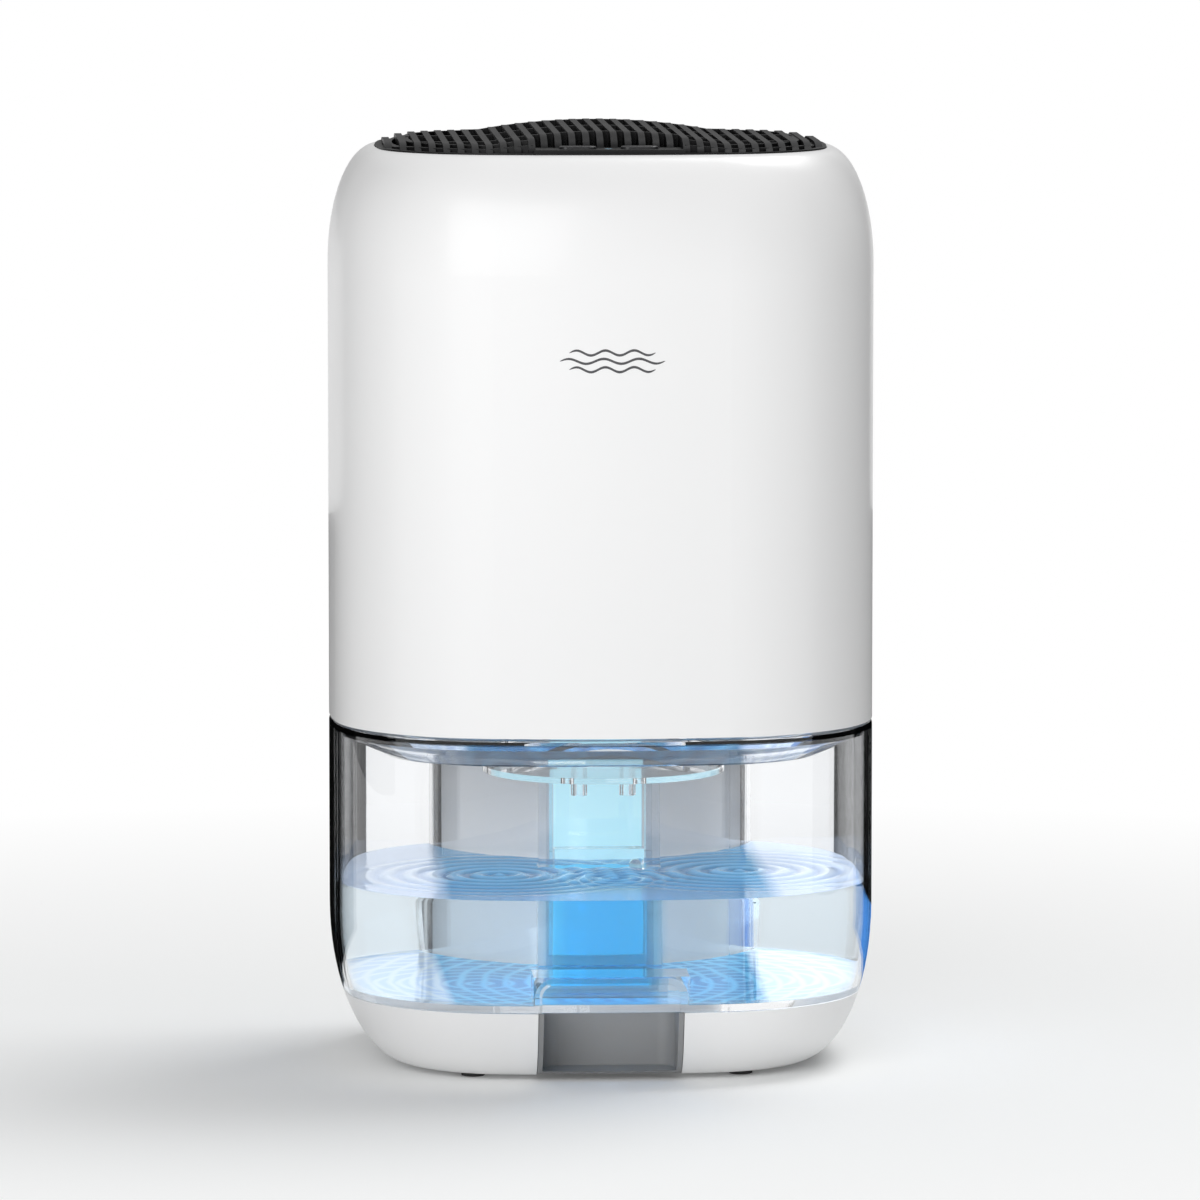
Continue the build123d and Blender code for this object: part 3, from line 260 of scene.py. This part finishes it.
CORNER_X, CORNER_Y = corner_centre()
FRONT_ANGLE = atan2(CORNER_Y - (HALF_D - FRONT_R), CORNER_X)  # where the corner arcs end
SIDE_ANGLE = atan2(CORNER_Y, CORNER_X - (HALF_W - SIDE_R))


def reach(angle, inset):
    """Distance from the axis to the inset outline in one direction."""
    ux, uy = abs(cos(angle)), abs(sin(angle))
    best = 1.0
    for cx, cy, r in ((0, HALF_D - FRONT_R, FRONT_R), (HALF_W - SIDE_R, 0, SIDE_R)):
        b = ux * cx + uy * cy
        best = min(best, b + sqrt(max(b * b - cx * cx - cy * cy + (r - inset) ** 2, 0)))
    b = ux * CORNER_X + uy * CORNER_Y
    inside = b * b - CORNER_X**2 - CORNER_Y**2 + (CORNER_R - inset) ** 2
    if inside > 0:
        round_off = b + sqrt(inside)
        if SIDE_ANGLE < atan2(uy * round_off - CORNER_Y, ux * round_off - CORNER_X) < FRONT_ANGLE:
            return round_off
    return best


def belly(z):
    """How far the outer surface tucks in at a height."""
    if z >= BELLY_Z:
        return 0.0
    return FOOT_INSET * (1 - sqrt(max(1 - ((BELLY_Z - z) / (BELLY_Z - BASE_Z)) ** 2, 0)))


# ---- water -------------------------------------------------------------------------------------
WATER_INSET = TANK_WALL + WATER_GAP
RIPPLES = (  # centre x, centre y, height, wavelength, reach
    (-0.034, -0.012, 0.00050, 0.0075, 0.052),
    (0.046, -0.006, 0.00050, 0.0075, 0.055),
    (0.004, -0.022, 0.00035, 0.0055, 0.026),
)


def ripple(x, y):
    """Height of the ring ripples under the two drip nozzles and at the sides."""
    height = 0.0
    for cx, cy, rise, wave, far in RIPPLES:
        r = sqrt((x - cx) ** 2 + (y - cy) ** 2)
        fade = max(1 - r / far, 0) ** 0.7
        height += rise * fade * cos(2 * pi * r / wave)
    return height


def water_body():
    """Closed body of water that fills the tank to the float, ripples on top."""
    around, across, down = 400, 120, 24
    mesh = bmesh.new()
    angles = [2 * pi * i / around for i in range(around)]
    edge = [reach(a, WATER_INSET) for a in angles]
    rings = []
    middle = mesh.verts.new((0, 0, WATER_Z + ripple(0, 0)))
    for j in range(1, across + 1):
        f = j / across
        ring = []
        for a, r in zip(angles, edge):
            x, y = r * f * cos(a), r * f * sin(a)
            ring.append(mesh.verts.new((x, y, WATER_Z + ripple(x, y))))
        rings.append(ring)
    floor = FLOOR_Z + WATER_GAP
    for k in range(1, down + 1):
        z = WATER_Z + (floor - WATER_Z) * k / down
        ring = []
        for a in angles:
            r = reach(a, WATER_INSET + belly(z) * 1.02)
            ring.append(mesh.verts.new((r * cos(a), r * sin(a), z)))
        rings.append(ring)
    for j in range(10, 0, -1):
        f = j / 11
        rings.append([mesh.verts.new((v.co.x * f, v.co.y * f, floor)) for v in rings[across + down - 1]])
    bottom = mesh.verts.new((0, 0, floor))
    for inner, outer in zip(rings, rings[1:]):
        for i in range(around):
            n = (i + 1) % around
            mesh.faces.new((inner[i], outer[i], outer[n], inner[n]))
    for i in range(around):
        n = (i + 1) % around
        mesh.faces.new((middle, rings[0][i], rings[0][n]))
        mesh.faces.new((bottom, rings[-1][n], rings[-1][i]))
    bmesh.ops.recalc_face_normals(mesh, faces=mesh.faces)
    for face in mesh.faces:
        face.smooth = True
    data = bpy.data.meshes.new("water")
    mesh.to_mesh(data)
    mesh.free()
    obj = bpy.data.objects.new("water", data)
    bpy.context.collection.objects.link(obj)
    return obj


def cutters():
    """The spine's hollow, the float rails and the finger pocket, as closed blocks."""
    mesh = bmesh.new()
    hollow_r = SPINE_R + WATER_INSET
    bmesh.ops.create_cone(mesh, cap_ends=True, segments=160, radius1=hollow_r, radius2=hollow_r, depth=0.2)
    bmesh.ops.translate(mesh, verts=mesh.verts, vec=(0, SPINE_Y, 0.06))
    rail_low, rail_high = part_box("float_guide")
    for low, high in (
        ((rail_low[0], rail_low[1], 0), (rail_high[0], rail_high[1], 0.12)),
        FINGER_POCKET,
    ):
        made = bmesh.ops.create_cube(mesh, size=1)["verts"]
        for v in made:
            for axis in range(3):
                grow = 0.0002 if v.co[axis] > 0 else -0.0002
                v.co[axis] = (high[axis] if v.co[axis] > 0 else low[axis]) + grow
    data = bpy.data.meshes.new("water_cutters")
    mesh.to_mesh(data)
    mesh.free()
    obj = bpy.data.objects.new("water_cutters", data)
    bpy.context.collection.objects.link(obj)
    return obj


def apply_modifiers(obj):
    """Turns an object's modifiers into plain mesh."""
    bpy.context.view_layer.update()
    result = bpy.data.meshes.new_from_object(obj.evaluated_get(bpy.context.evaluated_depsgraph_get()))
    obj.modifiers.clear()
    obj.data = result


def along(m, axis):
    """Object coordinate along one axis."""
    coords = m.add("ShaderNodeTexCoord")
    split = m.add("ShaderNodeSeparateXYZ")
    m.link(coords.outputs["Object"], split.inputs["Vector"])
    return split.outputs[axis]


def beyond_painted_glow(m, half_w, soft):
    """0 in the middle of the machine, 1 beyond half_w to both sides: where the painted blue light of the
    lit window ends.
    """
    width = m.add("ShaderNodeMath", operation="ABSOLUTE")
    m.link(along(m, "X"), width.inputs[0])
    return m.ramp(width.outputs[0], 0, 1, half_w - soft, half_w + soft)


def blend(m, factor, first, second):
    """Goes from the first colour to the second with factor."""
    node = m.add("ShaderNodeMix", data_type="RGBA")
    m.link(factor, node.inputs["Factor"])
    m.link(first, node.inputs[6])
    m.link(second, node.inputs[7])
    return node.outputs[2]


def rings(m, x, y, wavelength):
    """Rings around an upright axis, slightly uneven; they draw the painted light rings on the water's
    floor.
    """
    coords = m.add("ShaderNodeTexCoord")
    mapping = m.add("ShaderNodeMapping")
    mapping.inputs["Location"].default_value = (-x, -y, 0)
    m.link(coords.outputs["Object"], mapping.inputs["Vector"])
    node = m.add("ShaderNodeTexWave", wave_type="RINGS", rings_direction="Z")
    node.inputs["Scale"].default_value = 2 * pi / (20 * wavelength)
    node.inputs["Distortion"].default_value = 1.6
    node.inputs["Detail"].default_value = 1.0
    m.link(mapping.outputs["Vector"], node.inputs["Vector"])
    return node.outputs["Fac"]


def water_side():
    """The water seen through the tank's walls, tinted cyan in the middle as painted light of the lit
    window behind it.
    """
    m = Nodes("water_side")
    m.set(Transmission_Weight=1.0, IOR=1.06)
    # painted light: the middle band in front of the lit window is tinted cyan, the sides pale
    tint = m.colours(beyond_painted_glow(m, 0.0165, 0.002), (0.26, 0.70, 0.92), (0.86, 0.95, 1.0), 0, 1)
    m.link(tint, m.shader.inputs["Base Color"])
    m.link(m.ramp(m.noise(40, 3), 0.0, 0.02), m.shader.inputs["Roughness"])
    return m.mat


def water_top():
    """The rippled surface, with a painted glow, painted blue light of the lit window in the middle and
    painted highlights on the ripple tops.
    """
    m = Nodes("water_top")
    # painted glow: the water's surface emits its own colour
    m.set(Transmission_Weight=0.25, IOR=1.16, Emission_Strength=0.25)
    # painted highlight: the ripple tops are coloured lighter
    crest_highlight = m.ramp(along(m, "Z"), 0, 1, WATER_Z - 0.0004, WATER_Z + 0.0004)
    middle = m.colours(crest_highlight, (0.008, 0.16, 0.37), (0.12, 0.40, 0.68), 0.1, 0.95)
    sides = m.colours(crest_highlight, (0.40, 0.53, 0.78), (0.74, 0.84, 0.96), 0.1, 0.95)
    # painted light: saturated blue in the middle where the lit window shines, paler at the sides
    tint = blend(m, beyond_painted_glow(m, 0.054, 0.003), middle, sides)
    m.link(tint, m.shader.inputs["Base Color"])
    m.link(tint, m.shader.inputs["Emission Color"])
    m.link(m.ramp(m.noise(40, 3), 0.02, 0.06), m.shader.inputs["Roughness"])
    return m.mat


def water_floor():
    """The bottom of the water over the tank's floor, with painted light rings, a painted glow and painted
    blue light of the lit window in the middle.
    """
    m = Nodes("water_floor")
    # painted glow: the water's floor emits its own colour
    m.set(Transmission_Weight=0.2, IOR=1.15, Emission_Strength=0.3)
    # painted light: light rings under the ripples are drawn into the colour
    both = m.add("ShaderNodeMath", operation="MAXIMUM")
    m.link(rings(m, -0.040, -0.015, 0.0072), both.inputs[0])
    m.link(rings(m, 0.044, -0.012, 0.0072), both.inputs[1])
    middle = m.colours(both.outputs[0], (0.0, 0.24, 0.50), (0.12, 0.54, 0.80), 0.6, 1.0)
    sides = m.colours(both.outputs[0], (0.66, 0.80, 0.95), (0.90, 0.97, 1.0), 0.6, 1.0)
    # painted light: saturated blue in the middle where the lit window shines, near white at the sides
    tint = blend(m, beyond_painted_glow(m, 0.051, 0.0015), middle, sides)
    m.link(tint, m.shader.inputs["Base Color"])
    m.link(tint, m.shader.inputs["Emission Color"])
    m.link(m.ramp(m.noise(40, 3), 0.05, 0.12), m.shader.inputs["Roughness"])
    return m.mat


water = water_body()
cutter = cutters()
cut = water.modifiers.new("cut", "BOOLEAN")
cut.operation = "DIFFERENCE"
cut.solver = "EXACT"
cut.object = cutter
apply_modifiers(water)
bpy.data.objects.remove(cutter)
water.data.materials.clear()
for material in (water_side(), water_top(), water_floor()):
    water.data.materials.append(material)
for face in water.data.polygons:
    if face.normal.z > 0.5 and face.center.z > WATER_Z - 0.002:
        face.material_index = 1
    elif face.normal.z < -0.9 and face.center.z < FLOOR_Z + 0.001:
        face.material_index = 2
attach(water, "tank")

# clear pieces let the lamps through to what is inside them
for clear in (water, nodes["water_tank"], nodes["tank_lid"], nodes["float_guide"], nodes["float_body"]):
    clear.visible_shadow = False


# ---- printed mark ------------------------------------------------------------------------------
MARK_Z = 0.2375
MARK_W = 0.034


def front_y(x):
    """Y of the housing's front surface."""
    return -(HALF_D - FRONT_R + sqrt(FRONT_R**2 - x * x))


def printed_mark():
    """Three short wavy lines, printed thin on the housing's front."""
    mesh = bmesh.new()
    steps = 48
    for row in (-1, 0, 1):
        length = MARK_W * (1 - 0.18 * abs(row))
        previous = None
        for i in range(steps + 1):
            t = i / steps
            x = (t - 0.5) * length
            z = MARK_Z + row * 0.0027 + 0.0008 * sin(6 * pi * t)
            thick = 0.00040 * sqrt(max(1 - (2 * t - 1) ** 8, 0.02))
            pair = [mesh.verts.new((x, front_y(x) - 0.00003, z + side * thick)) for side in (-1, 1)]
            if previous:
                mesh.faces.new((previous[0], pair[0], pair[1], previous[1]))
            previous = pair
    data = bpy.data.meshes.new("printed_mark")
    mesh.to_mesh(data)
    mesh.free()
    obj = bpy.data.objects.new("printed_mark", data)
    bpy.context.collection.objects.link(obj)
    m = Nodes("grey_ink")
    ink = m.colours(m.noise(900, 2), (0.05, 0.05, 0.055), (0.08, 0.08, 0.085))
    m.link(ink, m.shader.inputs["Base Color"])
    m.set(Roughness=0.5)
    data.materials.append(m.mat)
    return obj


mark = printed_mark()
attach(mark, "chassis")


# ---- studio ------------------------------------------------------------------------------------
def stage_plane(name, size, place, turn, material):
    """Flat rectangle of the studio, which is not part of the machine."""
    bpy.ops.mesh.primitive_plane_add(size=1, location=place, rotation=turn)
    obj = bpy.context.object
    obj.name = name
    obj.scale = (*size, 1)
    obj.data.materials.append(material)
    return obj


def matte(name, colour):
    """Even, dull surface for the cards and panels."""
    m = Nodes(name)
    m.set(Base_Color=(*colour, 1), Roughness=0.9, Specular_IOR_Level=0.1)
    return m.mat


def lamp(name, place, aim, size, power, colour=(1, 1, 1)):
    data = bpy.data.lights.new(name, "AREA")
    data.shape = "RECTANGLE"
    data.size, data.size_y = size
    data.energy = power
    data.color = colour
    obj = bpy.data.objects.new(name, data)
    obj.location = place
    obj.rotation_euler = (Vector(aim) - Vector(place)).to_track_quat("-Z", "Y").to_euler()
    bpy.context.collection.objects.link(obj)
    return obj


FLOOR_W = 40
FADE_FROM, FADE_TO = 0.10, 0.65  # distances from the axis between which the floor turns white
CARD_Y = 0.12  # the edge cards stand just behind the machine
CARD_OUTER = 0.30
CARD_TOP = 0.17
BLUE_TOP = 0.032  # the blue card ends and the black one on the right starts at this height


def studio_floor():
    """Pale floor that turns into an even white surround away from the object."""
    m = Nodes("studio_floor")
    coords = m.add("ShaderNodeTexCoord")
    away = m.add("ShaderNodeVectorMath", operation="LENGTH")
    m.link(coords.outputs["Object"], away.inputs[0])
    far = m.ramp(away.outputs["Value"], 0, 1, FADE_FROM / FLOOR_W, FADE_TO / FLOOR_W)
    lit = m.colours(far, (0.88, 0.89, 0.89), (0.0, 0.0, 0.0), 0, 1)
    glow = m.colours(far, (0.06, 0.06, 0.06), (1.0, 1.0, 1.0), 0, 1)
    m.link(lit, m.shader.inputs["Base Color"])
    m.link(glow, m.shader.inputs["Emission Color"])
    m.set(Emission_Strength=1.0, Roughness=0.95, Specular_IOR_Level=0.0)
    stage_plane("floor", (FLOOR_W, FLOOR_W), (0, 0, 0), (0, 0, 0), m.mat)


studio_floor()
# narrow cards beside the tank, seen only through the edges of its walls
for name, side, inner, low, high, colour in (
    ("edge_card_left", -1, 0.0835, 0.0, CARD_TOP, (0, 0, 0)),
    ("edge_card_right", 1, 0.0970, BLUE_TOP, CARD_TOP, (0, 0, 0)),
    ("edge_card_blue", 1, 0.105, 0.0, BLUE_TOP, (0.08, 0.3, 0.8)),
):
    size = (CARD_OUTER - inner, high - low)
    place = (side * (CARD_OUTER + inner) / 2, CARD_Y, (low + high) / 2)
    card = stage_plane(name, size, place, (radians(90), 0, 0), matte(name, colour))
    card.visible_camera = False
    card.visible_diffuse = False
    card.visible_shadow = False
# large dark panels that shade the housing's sides
for side, away in ((-1, 0.80), (1, 0.50)):
    name = "side_panel_left" if side < 0 else "side_panel_right"
    dark = matte(name, (0.02, 0.02, 0.02))
    panel = stage_plane(name, (1.0, 1.0), (side * away, 0.35, 0.45), (0, radians(90), 0), dark)
    panel.visible_camera = False
    panel.visible_transmission = False
    panel.visible_shadow = False

# The studio's surround is white where it is seen, also through the tank, and dimmer as a light.
world = bpy.data.worlds.new("studio")
bpy.context.scene.world = world
world.use_nodes = True
world_nodes = world.node_tree.nodes
background = world_nodes["Background"]
background.inputs["Color"].default_value = (1, 1, 1, 1)
path = world_nodes.new("ShaderNodeLightPath")
seen = world_nodes.new("ShaderNodeMath")
seen.operation = "MAXIMUM"
strength = world_nodes.new("ShaderNodeMapRange")
strength.inputs["To Min"].default_value = 0.42
strength.inputs["To Max"].default_value = 1.0
world.node_tree.links.new(path.outputs["Is Camera Ray"], seen.inputs[0])
world.node_tree.links.new(path.outputs["Is Transmission Ray"], seen.inputs[1])
world.node_tree.links.new(seen.outputs[0], strength.inputs["Value"])
world.node_tree.links.new(strength.outputs["Result"], background.inputs["Strength"])

lamp("front_softbox", (-0.8, -1.9, 0.8), (0, 0, 0.15), (1.5, 1.3), 21)
lamp("top_back", (0.7, 0.5, 1.6), (0, 0, 0.1), (0.9, 0.9), 16)
glow = lamp("tank_glow", (0, -0.001, 0.044), (0, -0.09, 0.03), (0.028, 0.02), 0.02, (0.1, 0.5, 1.0))
glow.visible_camera = False
glow.visible_transmission = False
glow.visible_glossy = False

cycles = bpy.context.scene.cycles
cycles.max_bounces = 20
cycles.transmission_bounces = 20
cycles.glossy_bounces = 8

camera_data = bpy.data.cameras.new("camera")
camera = bpy.data.objects.new("camera", camera_data)
bpy.context.collection.objects.link(camera)
CAMERA_AWAY = 2.8
CAMERA_AZ = radians(-3)
CAMERA_Z = 0.451
AIM = Vector((0, 0, 0.152))
camera.location = (CAMERA_AWAY * sin(CAMERA_AZ), -CAMERA_AWAY * cos(CAMERA_AZ), CAMERA_Z)
camera.rotation_euler = (AIM - camera.location).to_track_quat("-Z", "Y").to_euler()
camera_data.lens = 254.5
camera_data.sensor_width = 36
camera_data.clip_end = 50
bpy.context.scene.camera = camera
bpy.context.scene.view_settings.view_transform = "Standard"
